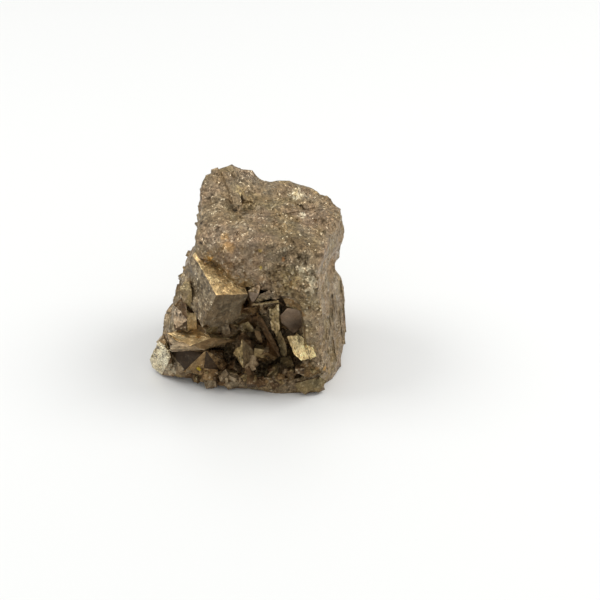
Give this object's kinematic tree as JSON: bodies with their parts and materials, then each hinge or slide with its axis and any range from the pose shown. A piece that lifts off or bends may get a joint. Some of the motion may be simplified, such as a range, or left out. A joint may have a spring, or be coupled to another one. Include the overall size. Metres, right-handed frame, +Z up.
{
  "type": "pyrite specimen",
  "caption": "Natural lump of massive pyrite with a pocket of intergrown cube crystals across its front, resting on a flat spot.",
  "frame": {"origin": "in the resting plane, under the middle of the lump", "axes": "+Z up, -Y towards the crystal pocket, +X to the right as the pocket is faced"},
  "size_m": [0.0357, 0.0301, 0.0332],
  "materials": {
    "pyrite": "dull bronze metallic, rough and granular, with brighter striated crystal faces"
  },
  "bodies": {
    "root": {"pyrite_specimen": "pyrite"}
  },
  "joints": []
}
